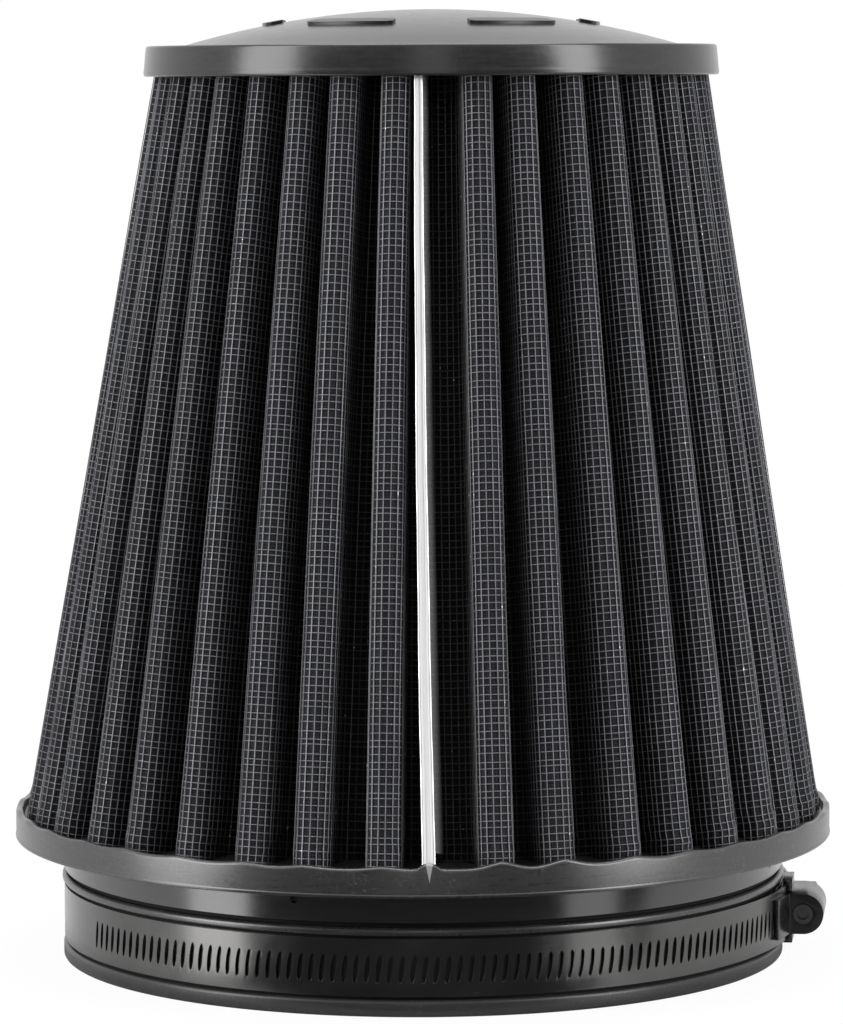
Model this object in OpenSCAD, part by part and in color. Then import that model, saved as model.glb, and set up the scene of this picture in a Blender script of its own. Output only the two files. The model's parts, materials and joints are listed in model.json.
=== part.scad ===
// Clamp-on cone air filter: a pleated gauze pack between a moulded cap and a moulded
// base with a round neck, held on its pipe by a worm-drive band clamp. Millimetres.
// The origin is the centre of the neck's mouth, +Z points up to the dome, the pack's
// seam faces -Y and the clamp's screw housing sits near +X.

/* [Neck] */
// Inside diameter of the neck, which is the size of the pipe that it fits
neck_bore_d = 152.4; // [140:0.1:156]
// Thickness of the neck's wall at the lower lip
neck_wall = 8.1; // [7:0.1:9]
// Height from the mouth to the underside of the base rim
neck_h = 28; // [24:0.5:50]
// Height of the plain lip below the clamp
lip_h = 3.7; // [2:0.1:6]
// Depth of the recess that the clamp sits in
recess_depth = 1; // [0.6:0.1:2]
// Height of the bead above the clamp
bead_h = 1.8; // [1:0.1:2.5]
// How far the bead stands out past the lip
bead_rise = 0.2; // [0:0.1:1]

/* [Base rim] */
// Outside diameter of the base rim
base_rim_d = 190.5; // [184:0.1:204]
// Height of the base rim
base_rim_h = 7; // [6:0.1:10]
// Radius of the rim's outer edges
rim_edge_r = 0.9; // [0.3:0.1:0.9]
// Thickness of the rim's lip outside the pleat tips
base_lip_t = 1.8; // [1.2:0.1:2.4]
// Thickness of the lip inside the pack
inner_lip_t = 1.1; // [0.6:0.1:1.2]
// Depth of each dip in the rim's top edge between two pleats
scallop_depth = 1.2; // [1:0.1:2]
// Radius of each dip
scallop_r = 6; // [4:0.5:12]
// Diameter of the moulding mark beside the clamp housing
mark_d = 1.6; // [1:0.1:2.4]
// Depth of the moulding mark
mark_depth = 0.8; // [0.3:0.1:1.5]

/* [Pleated pack] */
// Height of the pleats seen between the base rim and the cap
pleats_h = 169; // [90:1:240]
// Number of pleats, counting the seam
pleat_count = 38; // [30:1:40]
// Depth of a pleat, from its tip to the floor of the valley
pleat_depth = 13; // [9:0.5:14]
// Width of a pleat at the base
pleat_w_base = 8; // [6.5:0.1:9]
// Width of a pleat at the cap
pleat_w_cap = 6.5; // [5.6:0.1:7]
// Thickness of the gauze
gauze_t = 1.7; // [1:0.1:2]
// Thickness of each wire screen
screen_t = 0.35; // [0.2:0.05:0.5]
// Air gap between two layers, and at the pack's two ends
layer_gap = 0.05; // [0.02:0.01:0.1]
// Angle from the seam to the next pleat on its left
seam_left = 6.6; // [6.4:0.1:9]
// Angle from the seam to the next pleat on its right
seam_right = 9.2; // [7:0.1:10]
// Angle of the seam at the base, from the front towards +X
seam_angle = 0.8; // [-4:0.1:4]
// How far the pack turns from the base to the cap, in degrees
pack_twist = -1.5; // [-3:0.1:3]
// How far the seam leans further than the pleats beside it, from base to cap, in degrees
seam_lean = -2; // [-2:0.1:2]
// How far a pleat strays from even spacing, in degrees
pleat_stray = 0.45; // [0:0.05:0.6]
// How far the pleats near the sides lean at the cap, in degrees
pleat_lean = 1.6; // [0:0.1:2]
// How far the pack's ends sink into the cap and the base
end_depth = 3.5; // [2:0.1:5]

/* [Seam clip] */
// Width of the clip at the base
clip_w_base = 3; // [2.4:0.1:4]
// Width of the clip at the cap
clip_w_cap = 1.9; // [1.7:0.1:2.4]
// Thickness of the clip's sheet
clip_t = 0.4; // [0.25:0.05:0.5]
// Depth of the clip's two sides
clip_depth = 8; // [4:0.5:10]

/* [Cap] */
// Outside diameter of the cap at its lower edge
cap_d = 133; // [127:0.5:140]
// How far the cap is set to one side of the neck's axis, towards +X
cap_shift = 2.7; // [0:0.1:4]
// Height of the cap's rim
cap_rim_h = 7; // [5.5:0.1:12]
// How much the rim's radius shrinks from its lower edge to its top
cap_draft = 0.6; // [0:0.1:1.5]
// Radius of the rim's edges
cap_edge_r = 0.6; // [0.2:0.1:1]
// Thickness of the cap's lip outside the pleat tips
cap_lip_t = 2; // [1.4:0.1:3]
// Diameter of the dome
dome_d = 115; // [90:1:120]
// Height of the dome above the rim
dome_h = 8.3; // [4:0.1:14]
// Number of raised bars in the ring on the dome
bar_count = 6; // [2:1:10]
// Middle radius of the ring of bars
bar_ring_r = 37; // [24:1:42]
// Width of a bar
bar_w = 4; // [2:0.5:6]
// Height of a bar above the dome
bar_rise = 0.7; // [0.3:0.1:1.2]
// Angle that one bar covers
bar_angle = 34; // [16:1:34]

/* [Clamp band] */
// Width of the band
band_w = 12.7; // [10:0.1:13.5]
// Thickness of the band
band_t = 0.7; // [0.5:0.05:0.8]
// Gap between the band and each side of its recess
band_side_gap = 0.75; // [0.6:0.05:1]
// Angle of the screw housing round from the seam, towards +X
clamp_angle = 83; // [70:0.5:110]
// Number of worm slots
slot_count = 98; // [80:1:110]
// Distance between two slots along the band
slot_pitch = 2.5; // [2.2:0.05:2.7]
// Length of a slot
slot_l = 7.2; // [5:0.1:8]
// Width of a slot
slot_w = 1; // [0.6:0.05:1.2]
// Lean of a slot from the neck's axis
slot_lean = 7; // [4:0.5:9]
// Angle over which the band rises to pass over its fixed end
lift_angle = 22; // [18:1:28]
// Length of the tail beyond the housing
tail_l = 24; // [18:1:36]

/* [Clamp housing and screw] */
// Length of the housing's barrel
barrel_l = 18; // [16:0.5:22]
// Thickness of the housing's sheet
shell_t = 0.9; // [0.7:0.05:1]
// Length of each side tab along the band
tab_l = 11; // [6:0.5:14]
// Angle that the apron in front of the barrel covers
apron_angle = 5; // [2:0.5:6]
// Width of the apron
apron_w = 9.2; // [7:0.1:10]
// Thickness of the saddle under the band
saddle_t = 0.9; // [0.6:0.05:1]
// Outside diameter of the worm's thread
worm_d = 7; // [6.4:0.1:7.4]
// Height of the worm's thread
thread_h = 0.9; // [0.5:0.05:1.1]
// Radius of the screw's two journals
journal_r = 2.3; // [1.8:0.05:2.4]
// Running clearance of the journals, in radius
journal_gap = 0.05; // [0.02:0.01:0.1]
// Width across the flats of the screw's head
head_af = 7; // [6:0.1:7]
// Length of the screw's head
head_l = 5; // [3:0.5:7]
// Width of the slot across the head
head_slot_w = 1.2; // [0.8:0.1:1.6]

/* [Hidden] */
$fn = 96;

// Heights and radii of the neck
bore_r = neck_bore_d / 2;
lip_r = bore_r + neck_wall;
recess_r = lip_r - recess_depth;
recess_top = lip_h + band_w + 2 * band_side_gap;
bead_r = lip_r + bead_rise;
groove_h = 0.6;
neck_r = lip_r - 0.3;
lip_chamfer = 0.5;
groove_depth = 0.5;
neck_fillet_r = 0.8;
band_mid = (lip_h + recess_top) / 2;

// How far a cut runs past the surface that it opens
over = 1;

// Where the moulding mark sits: its angle from the seam, and its drop below the rim
mark_angle = clamp_angle - 12;
mark_drop = 3.5;

// Heights and radii of the base rim
rim_r = base_rim_d / 2;
rim_top = neck_h + base_rim_h;
base_floor = rim_top - end_depth;
base_lip_r = rim_r - base_lip_t;
inner_lip_drop = 1;
inner_lip_top = rim_top - inner_lip_drop;

// Heights and radii of the cap
cap_bottom = rim_top + pleats_h;
cap_floor = cap_bottom + end_depth;
cap_top = cap_bottom + cap_rim_h;
cap_r = cap_d / 2;
cap_lip_r = cap_r - cap_lip_t;
dome_r = ((dome_d / 2) ^ 2 + dome_h ^ 2) / (2 * dome_h);

// The pack's two ends, and the radius of the pleat tips there
tip_gap = 0.35;
pack_bottom = base_floor + layer_gap;
pack_top = cap_floor - layer_gap;
tip_r_base = base_lip_r - tip_gap;
tip_r_cap = cap_lip_r - tip_gap;
tip_slope = (tip_r_base - tip_r_cap) / (cap_bottom - base_floor);
function pack_share(z) = (z - pack_bottom) / (pack_top - pack_bottom);
function tip_r(z) = tip_r_base - (z - base_floor) * tip_slope;

// The pack's layers, as depths below its outer face
gauze_out = screen_t + layer_gap;
gauze_in = gauze_out + gauze_t;
liner_out = gauze_in + layer_gap;
pack_t = liner_out + screen_t;
liner_r_cap = tip_r(pack_top) - pleat_depth - pack_t;

// Every pleat's angle, with the seam as pleat 0; u is the share of the way up
even_pitch = (360 - seam_left - seam_right) / (pleat_count - 2);
function even_angle(i) = seam_right + (i - 1) * even_pitch;
function stray(i) = pleat_stray * sin(i * 137.5);
function lean(i, u) = u * pleat_lean * sin(2 * even_angle(i));
function pack_turn(u) = seam_angle + u * pack_twist;
function seam_turn(u) = pack_turn(u) + u * seam_lean;
function is_seam(i) = i == 0 || i == pleat_count;
function pleat_angle(i, u) =
    is_seam(i) ? seam_turn(u) + (i == 0 ? 0 : 360)
    : pack_turn(u) + even_angle(i) + stray(i) + lean(i, u);
function clip_w(u) = clip_w_base + (clip_w_cap - clip_w_base) * u;
function pleat_w(u) = pleat_w_base + (pleat_w_cap - pleat_w_base) * u;

// The seam's fold is narrower and stops under the clip
clip_fit = 0.05;
function half_w(i, u) = is_seam(i) ? clip_w(u) / 2 - clip_t - clip_fit : pleat_w(u) / 2;
function fold_r(i, u, z) = is_seam(i) ? tip_r(z) - clip_t - clip_fit : tip_r(z);

// Radius and middle angle of the valley after pleat i, where d is the depth below the face
function valley_r(z) = tip_r(z) - pleat_depth;
function valley_half(i, u, z) =
    (valley_r(z) * (pleat_angle(i + 1, u) - pleat_angle(i, u)) * PI / 180
     - half_w(i, u) - half_w(i + 1, u)) / (2 - (pleat_angle(i + 1, u) - pleat_angle(i, u)) * PI / 180);
function valley_mid(i, u, z) =
    pleat_angle(i, u) + (half_w(i, u) + valley_half(i, u, z))
    / (valley_r(z) + valley_half(i, u, z)) * 180 / PI;

// Points of one fold and of one valley on the sheet's surface at depth d
fold_steps = 6;
valley_steps = 4;
function at_angle(a, p, z) = [
    cap_shift * pack_share(z) + p[0] * sin(a) + p[1] * cos(a),
    -p[0] * cos(a) + p[1] * sin(a),
    z
];
function fold_layer(i, u, d) = is_seam(i) ? half_w(i, u) * 0.6 * d / pack_t : d;
function fold_points(i, u, z, d) = [
    for (k = [0 : fold_steps])
        let (r = half_w(i, u) - fold_layer(i, u, d),
             t = -90 + 180 * k / fold_steps)
        at_angle(pleat_angle(i, u), [fold_r(i, u, z) - half_w(i, u) + r * cos(t), r * sin(t)], z)
];
function valley_points(i, u, z, d) = [
    for (k = [0 : valley_steps])
        let (share = k / valley_steps,
             r = valley_half(i, u, z) + fold_layer(i, u, d) * (1 - share)
                 + fold_layer(i + 1, u, d) * share,
             t = -90 + 180 * share)
        at_angle(valley_mid(i, u, z),
                 [valley_r(z) + valley_half(i, u, z) - r * cos(t), r * sin(t)], z)
];
function ring_points(z, d) = [
    for (i = [0 : pleat_count - 1])
        each concat(fold_points(i, pack_share(z), z, d), valley_points(i, pack_share(z), z, d))
];

// One layer of the pack, from depth d0 to depth d1 below its outer face
module pleated_layer(d0, d1) {
    n = pleat_count * (fold_steps + valley_steps + 2);
    points = concat(ring_points(pack_bottom, d0), ring_points(pack_top, d0),
                    ring_points(pack_bottom, d1), ring_points(pack_top, d1));
    function next(j) = (j + 1) % n;
    outer = [for (j = [0 : n - 1]) each [[j, n + j, n + next(j)], [j, n + next(j), next(j)]]];
    inner = [for (j = [0 : n - 1]) each [[2 * n + j, 3 * n + next(j), 3 * n + j],
                                         [2 * n + j, 2 * n + next(j), 3 * n + next(j)]]];
    bottom = [for (j = [0 : n - 1]) each [[j, next(j), 2 * n + next(j)],
                                          [j, 2 * n + next(j), 2 * n + j]]];
    top = [for (j = [0 : n - 1]) each [[n + j, 3 * n + next(j), n + next(j)],
                                       [n + j, 3 * n + j, 3 * n + next(j)]]];
    polyhedron(points, concat(outer, inner, bottom, top), convexity = 20);
}

module outer_screen() {
    color("dimgray") pleated_layer(0, screen_t);
}

module gauze_pack() {
    color([0.1, 0.1, 0.11]) pleated_layer(gauze_out, gauze_in);
}

module inner_screen() {
    color("gray") pleated_layer(liner_out, pack_t);
}

// A rounded outer corner of a profile: the disc that fills the corner's chamfer
module round_corner(r_edge, z_edge, r) {
    translate([r_edge, z_edge]) circle(r);
}

// The cap's section: rim with a tray below it for the pack's end, and a dome above
module cap_profile() {
    difference() {
        union() {
            polygon([
                [0, cap_bottom],
                [cap_r - cap_edge_r, cap_bottom],
                [cap_r, cap_bottom + cap_edge_r],
                [cap_r - cap_draft, cap_top - cap_edge_r],
                [cap_r - cap_draft - cap_edge_r, cap_top],
                [0, cap_top]
            ]);
            round_corner(cap_r - cap_edge_r, cap_bottom + cap_edge_r, cap_edge_r);
            round_corner(cap_r - cap_draft - cap_edge_r, cap_top - cap_edge_r, cap_edge_r);
            intersection() {
                translate([0, cap_top + dome_h - dome_r]) circle(dome_r, $fn = 360);
                translate([0, cap_floor]) square([dome_d / 2, cap_top + dome_h - cap_floor]);
            }
        }
        translate([liner_r_cap - tip_gap, cap_bottom - over])
            square([cap_lip_r - liner_r_cap + tip_gap, end_depth + over]);
        translate([-dome_r, cap_top + dome_h - 2 * dome_r]) square([dome_r, 2 * dome_r]);
    }
}

// A plain ring of raised bars that follow the dome
module dome_bars() {
    intersection() {
        translate([0, 0, cap_top + dome_h + bar_rise - dome_r]) sphere(dome_r, $fn = 360);
        for (k = [0 : bar_count - 1])
            rotate([0, 0, 90 + (k + 0.5) * 360 / bar_count - bar_angle / 2])
                rotate_extrude(angle = bar_angle)
                    translate([bar_ring_r - bar_w / 2, cap_top])
                        square([bar_w, dome_h + bar_rise]);
    }
}

module top_cap() {
    color([0.25, 0.25, 0.26])
        translate([cap_shift, 0, 0]) {
            rotate_extrude() cap_profile();
            dome_bars();
        }
}

// The base's section: neck with clamp recess and bead, rim with a tray for the pack's end
module base_profile() {
    polygon([
        [bore_r, 0],
        [lip_r - lip_chamfer, 0],
        [lip_r, lip_chamfer],
        [lip_r, lip_h],
        [recess_r, lip_h],
        [recess_r, recess_top],
        [bead_r - bead_h / 2, recess_top],
        [bead_r - bead_h / 2, recess_top + bead_h],
        [neck_r - groove_depth, recess_top + bead_h],
        [neck_r - groove_depth, recess_top + bead_h + groove_h / 2],
        [neck_r, recess_top + bead_h + groove_h],
        [neck_r, neck_h - neck_fillet_r],
        [neck_r + neck_fillet_r, neck_h],
        [rim_r - rim_edge_r, neck_h],
        [rim_r, neck_h + rim_edge_r],
        [rim_r, rim_top - rim_edge_r],
        [rim_r - rim_edge_r, rim_top],
        [base_lip_r, rim_top],
        [base_lip_r, base_floor],
        [bore_r + inner_lip_t, base_floor],
        [bore_r + inner_lip_t, inner_lip_top],
        [bore_r, inner_lip_top]
    ]);
    round_corner(bead_r - bead_h / 2, recess_top + bead_h / 2, bead_h / 2);
    round_corner(rim_r - rim_edge_r, neck_h + rim_edge_r, rim_edge_r);
    intersection() {
        round_corner(rim_r - rim_edge_r, rim_top - rim_edge_r, rim_edge_r);
        translate([base_lip_r, base_floor]) square([base_lip_t, end_depth]);
    }
}

module base_flange() {
    color([0.3, 0.3, 0.31])
        difference() {
            rotate_extrude() base_profile();
            for (i = [0 : pleat_count - 1])
                rotate([0, 0, valley_mid(i, 0, pack_bottom) - 90])
                    translate([base_lip_r - over, 0, rim_top + scallop_r - scallop_depth])
                        rotate([0, 90, 0])
                            cylinder(h = base_lip_t + 2 * over, r = scallop_r);
            rotate([0, 0, mark_angle - 90])
                translate([neck_r - mark_depth, 0, neck_h - mark_drop])
                    rotate([0, 90, 0])
                        cylinder(h = mark_depth + over, d = mark_d, $fn = 32);
        }
}

// A slab across the seam that spans the cone's slope, for the clip's outside and its slot
module clip_slab(w_base, w_cap, out_by, in_by) {
    thin = 0.01;
    hull() {
        rotate([0, 0, seam_turn(0)])
            translate([-w_base / 2, -(tip_r(pack_bottom) - out_by), pack_bottom])
                cube([w_base, in_by - out_by, thin]);
        translate([cap_shift, 0, 0])
            rotate([0, 0, seam_turn(1)])
                translate([-w_cap / 2, -(tip_r(pack_top) - out_by), pack_top - thin])
                    cube([w_cap, in_by - out_by, thin]);
    }
}

// A folded strip that pinches the two ends of the pack together
module seam_clip() {
    color("silver")
        difference() {
            clip_slab(clip_w_base, clip_w_cap, 0, clip_depth);
            clip_slab(clip_w_base - 2 * clip_t, clip_w_cap - 2 * clip_t, clip_t, clip_depth + over);
        }
}

// The band's three radii: on the neck, as its fixed end over the saddle, and over that end
seat_gap = 0.08;
band_r = recess_r + seat_gap;
fixed_r = band_r + saddle_t + seat_gap;
free_r = fixed_r + band_t + seat_gap;
barrel_half_angle = asin(barrel_l / 2 / free_r);
fixed_end_angle = barrel_half_angle + 2;
fixed_lift_angle = 16;

// A rise from radius r0 to r1 leaves the first at a tangent, on an arc whose centre is set
// back from the neck's axis; span is the angle that the rise covers about that axis
function set_back(r0, r1, angle) = (sqrt(r0 ^ 2 + 2 * (r1 ^ 2 - r0 ^ 2) / (1 - cos(angle))) - r0) / 2;
function span(r0, r1, angle) = asin((r0 + set_back(r0, r1, angle)) * sin(angle) / r1);
lift_back = set_back(band_r, free_r, lift_angle);
lift_r = band_r + lift_back;
lift_end = -barrel_half_angle;
lift_start = lift_end - span(band_r, free_r, lift_angle);
fixed_back = set_back(band_r, fixed_r, fixed_lift_angle);
fixed_start = fixed_end_angle + span(band_r, fixed_r, fixed_lift_angle);
tail_angle = barrel_half_angle + tail_l / free_r * 180 / PI;

// The band's centre line of arcs, from the tail's end round to the fixed end. Each point is
// [centre's distance set back, centre's angle, angle of the point, inside radius].
arc_step = 2;
function arc(back, at, a0, a1, r) =
    let (n = ceil(abs(a1 - a0) / arc_step))
    [for (k = [0 : n]) [back, at, a0 + (a1 - a0) * k / n, r]];
function without_first(list) = [for (k = [1 : len(list) - 1]) list[k]];
band_path = concat(
    arc(0, 0, tail_angle, lift_end, free_r),
    without_first(arc(lift_back, lift_start, lift_start + lift_angle, lift_start, lift_r)),
    without_first(arc(0, 0, lift_start, fixed_start - 360, band_r)),
    without_first(arc(fixed_back, fixed_start, fixed_start, fixed_start - fixed_lift_angle,
                      band_r + fixed_back)),
    without_first(arc(0, 0, fixed_end_angle, 0.5 - barrel_half_angle, fixed_r))
);
function off_path(p, out) = [
    -p[0] * cos(p[1]) + (p[3] + out) * cos(p[2]),
    -p[0] * sin(p[1]) + (p[3] + out) * sin(p[2])
];
last_point = len(band_path) - 1;

// Where slot k lies along the free end, counted back from the tail's end
tail_margin = 1.5;
free_l = (tail_angle - lift_end) * PI / 180 * free_r;
lift_l = lift_angle * PI / 180 * lift_r;
function slot_place(s) =
    s < free_l ? [0, 0, tail_angle - s / free_r * 180 / PI, free_r]
    : s < free_l + lift_l
        ? [lift_back, lift_start, lift_start + lift_angle - (s - free_l) / lift_r * 180 / PI, lift_r]
    : [0, 0, lift_start - (s - free_l - lift_l) / band_r * 180 / PI, band_r];
slot_dip = seat_gap / 2;

module slot(p) {
    translate(concat(off_path(p, band_t / 2), [band_mid]))
        rotate([0, 0, p[2]])
            rotate([-slot_lean, 0, 0])
                translate([-band_t / 2 - slot_dip, -slot_w / 2, -slot_l / 2])
                    cube([band_t + slot_dip + over, slot_w, slot_l]);
}

module clamp_band() {
    color([0.32, 0.31, 0.3])
        rotate([0, 0, clamp_angle - 90])
            difference() {
                translate([0, 0, band_mid - band_w / 2])
                    linear_extrude(band_w)
                        polygon(concat(
                            [for (k = [0 : last_point]) off_path(band_path[k], 0)],
                            [for (k = [0 : last_point]) off_path(band_path[last_point - k], band_t)]
                        ));
                for (k = [0 : slot_count - 1]) slot(slot_place(tail_margin + k * slot_pitch));
            }
}

// A curved plate round the neck between two angles, at an inside radius
module plate(r, a0, a1, w, t) {
    rotate([0, 0, a0])
        rotate_extrude(angle = a1 - a0)
            translate([r, band_mid - w / 2])
                square([t, w]);
}

// The saddle: a curved plate between the neck and the band's fixed end
module clamp_saddle() {
    saddle_angle = fixed_end_angle - 1;
    color([0.35, 0.35, 0.36])
        rotate([0, 0, clamp_angle - 90])
            plate(band_r, -saddle_angle, saddle_angle, band_w, saddle_t);
}

// The screw's axis, and the housing's planes, as distances from the neck's axis
worm_gap = 0.15;
worm_r = worm_d / 2;
band_top = free_r + band_t;
screw_x = band_top + worm_gap + worm_r;
barrel_in_r = worm_r + 0.3;
barrel_r = barrel_in_r + shell_t;
foot_x = band_top + 0.1;
tab_x = bead_r + 0.15;
tab_gap = 0.15;
tab_in = band_w / 2 + tab_gap;
end_gap = 0.1;
lap = 0.1;
apron_gap = 0.15;
apron_lap = asin(shell_t / 2 / lift_r);

module barrel_shape(r) {
    intersection() {
        translate([screw_x, 0]) circle(r);
        translate([screw_x, -r]) square([r, 2 * r]);
    }
    translate([foot_x, -r]) square([screw_x - foot_x, 2 * r]);
}

// Puts a section drawn across the screw into place: x stays radial, y becomes height
module across_screw(y0, length) {
    translate([0, y0 + length, band_mid]) rotate([90, 0, 0]) linear_extrude(length) children();
}

module barrel_end(y0) {
    across_screw(y0, shell_t)
        difference() {
            barrel_shape(barrel_in_r + lap);
            translate([screw_x, 0]) circle(journal_r + journal_gap);
        }
}

// The housing: barrel over the worm, feet on the band, tabs down its edges, apron in front
module clamp_housing() {
    color([0.45, 0.45, 0.46])
        rotate([0, 0, clamp_angle - 90]) {
            across_screw(-barrel_l / 2, barrel_l)
                difference() {
                    barrel_shape(barrel_r);
                    barrel_shape(barrel_in_r);
                }
            barrel_end(-barrel_l / 2);
            barrel_end(barrel_l / 2 - shell_t);
            for (side = [-1, 1])
                across_screw(-tab_l / 2, tab_l) {
                    translate([foot_x, side > 0 ? barrel_in_r : -tab_in - shell_t])
                        square([shell_t, tab_in + shell_t - barrel_in_r]);
                    translate([tab_x, side > 0 ? tab_in : -tab_in - shell_t])
                        square([foot_x + shell_t - tab_x, shell_t]);
                }
            translate([-lift_back * cos(lift_start), -lift_back * sin(lift_start), 0])
                plate(lift_r + band_t + apron_gap, lift_start + lift_angle - apron_angle,
                      lift_start + lift_angle + apron_lap, apron_w, shell_t);
        }
}

// The threaded stretch of the worm: rows of points along the axis, whose radius follows
// a helical ridge that fades out at both ends
collar_l = 0.8;
collar_r = worm_r - 0.1;
thread_l = 2 * (barrel_l / 2 - shell_t - end_gap - collar_l);
thread_pitch = slot_pitch;
core_r = worm_r - thread_h;
worm_rows = ceil(6 * thread_l / thread_pitch);
worm_sides = 18;
crest_share = 0.14;
foot_share = 0.34;
function ridge(q) = max(0, min(1, (foot_share - abs(q - 0.5)) / (foot_share - crest_share)));
function thread_fade(y) = min(1, (thread_l / 2 - abs(y)) / (thread_pitch / 3));
function turn_share(y, j) = y / thread_pitch + 1000 - j / worm_sides;
module thread() {
    points = [
        for (k = [0 : worm_rows], j = [0 : worm_sides - 1])
            let (y = thread_l * (k / worm_rows - 0.5),
                 q = turn_share(y, j) - floor(turn_share(y, j)),
                 r = core_r + thread_h * thread_fade(y) * ridge(q),
                 a = 360 * j / worm_sides)
            [r * cos(a), y, -r * sin(a)]
    ];
    function next(j) = (j + 1) % worm_sides;
    sides = [
        for (k = [0 : worm_rows - 1], j = [0 : worm_sides - 1])
            let (a = k * worm_sides + j, b = k * worm_sides + next(j))
            each [[a, b + worm_sides, b], [a, a + worm_sides, b + worm_sides]]
    ];
    first = [for (j = [0 : worm_sides - 1]) j];
    last = [for (j = [0 : worm_sides - 1]) worm_rows * worm_sides + worm_sides - 1 - j];
    polyhedron(points, concat(sides, [first, last]), convexity = 10);
}

// A round section of the screw from y0 to y1
module shank(r, y0, y1) {
    translate([0, y0, 0]) rotate([-90, 0, 0]) cylinder(h = y1 - y0, r = r, $fn = 48);
}

// The worm screw: tail journal, thread between two collars, neck and slotted hex head
tail_out = 0.3;
neck_out = 1.4;
dimple_r = 1.3;
dimple_depth = 0.9;
head_slot_depth = 1.5;
module clamp_screw() {
    inside = thread_l / 2 + collar_l;
    tip_y = -barrel_l / 2 - tail_out;
    head_y = barrel_l / 2 + neck_out;
    color([0.5, 0.5, 0.5])
        rotate([0, 0, clamp_angle - 90])
            translate([screw_x, 0, band_mid]) {
                difference() {
                    union() {
                        thread();
                        shank(collar_r, -inside, -thread_l / 2);
                        shank(collar_r, thread_l / 2, inside);
                        shank(journal_r, tip_y, lap - inside);
                        shank(journal_r, inside - lap, head_y + lap);
                        translate([0, head_y, 0])
                            rotate([-90, 0, 0])
                                cylinder(h = head_l, d = head_af / cos(30), $fn = 6);
                    }
                    translate([0, head_y + head_l, 0])
                        cube([2 * head_af, 2 * head_slot_depth, head_slot_w], center = true);
                    shank(dimple_r, tip_y - over, tip_y + dimple_depth);
                }
            }
}

top_cap();
base_flange();
outer_screen();
gauze_pack();
inner_screen();
seam_clip();
clamp_band();
clamp_housing();
clamp_saddle();
clamp_screw();
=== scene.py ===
import bpy
import json
import math
import random
from mathutils import Matrix, Vector


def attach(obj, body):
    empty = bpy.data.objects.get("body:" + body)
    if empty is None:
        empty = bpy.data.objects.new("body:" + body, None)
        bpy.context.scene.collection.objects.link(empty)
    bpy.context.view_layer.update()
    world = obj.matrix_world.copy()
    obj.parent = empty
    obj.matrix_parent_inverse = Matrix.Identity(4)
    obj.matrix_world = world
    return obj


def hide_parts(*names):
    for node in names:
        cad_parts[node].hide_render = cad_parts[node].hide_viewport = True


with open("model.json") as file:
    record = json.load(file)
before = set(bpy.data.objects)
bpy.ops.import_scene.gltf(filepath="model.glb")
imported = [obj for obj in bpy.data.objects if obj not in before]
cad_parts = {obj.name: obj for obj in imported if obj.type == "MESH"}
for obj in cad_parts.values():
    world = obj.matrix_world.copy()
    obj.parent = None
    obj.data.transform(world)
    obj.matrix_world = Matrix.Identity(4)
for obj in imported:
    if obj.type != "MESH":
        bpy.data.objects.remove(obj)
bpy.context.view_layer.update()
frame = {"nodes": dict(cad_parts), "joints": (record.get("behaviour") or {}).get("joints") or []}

scene = bpy.context.scene
nodes = frame["nodes"]
mm = 0.001
rand = random.Random(7)

for name in ("Cube", "Light", "Camera"):  # the start-up file's own objects
    if name in bpy.data.objects:
        bpy.data.objects.remove(bpy.data.objects[name], do_unlink=True)


# shader maths: an expression on Sock values adds the Math nodes
class Sock:
    def __init__(self, graph, socket):
        self.graph, self.socket = graph, socket

    def math(self, operation, *others):
        return self.graph.node("ShaderNodeMath", {"operation": operation}, [self, *others])

    def __add__(self, other):
        return self.math("ADD", other)

    def __mul__(self, other):
        return self.math("MULTIPLY", other)

    def __sub__(self, other):
        return self.math("SUBTRACT", other)

    def __rsub__(self, other):
        return self * -1 + other

    def __truediv__(self, other):
        return self.math("DIVIDE", other)

    __radd__ = __add__
    __rmul__ = __mul__


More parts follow.
